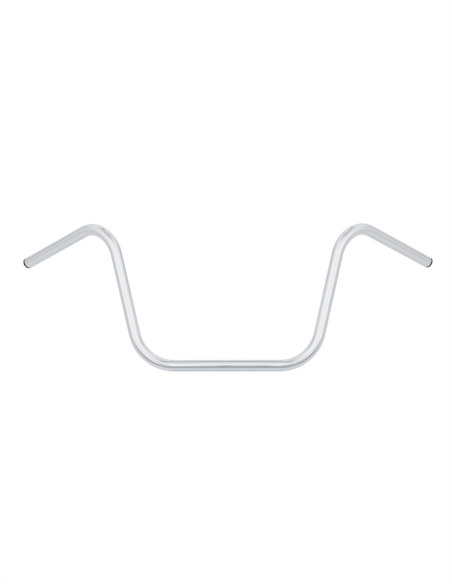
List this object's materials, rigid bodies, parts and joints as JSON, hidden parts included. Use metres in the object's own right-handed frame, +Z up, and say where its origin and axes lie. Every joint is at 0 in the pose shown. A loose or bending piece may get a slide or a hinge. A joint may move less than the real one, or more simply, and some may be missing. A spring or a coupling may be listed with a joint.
{
  "type": "motorcycle handlebar",
  "caption": "Bent chromium-plated steel tube handlebar: straight clamp section, raised uprights, grips swept back and down, black plugs in the open ends.",
  "frame": {"origin": "middle of the centre straight, on the tube's axis, where the risers clamp the bar", "axes": "+X along the centre straight towards the clutch side, +Y backwards to the rider, +Z up in the plane of the uprights"},
  "size_m": [0.8434, 0.1662, 0.2855],
  "materials": {
    "chromed_steel": "bright chromium plate on a polished steel tube",
    "black_plastic": "black moulded polyethylene, satin"
  },
  "bodies": {
    "root": {"handlebar_tube": "chromed_steel", "clutch_end_plug": "black_plastic", "throttle_end_plug": "black_plastic"}
  },
  "joints": []
}
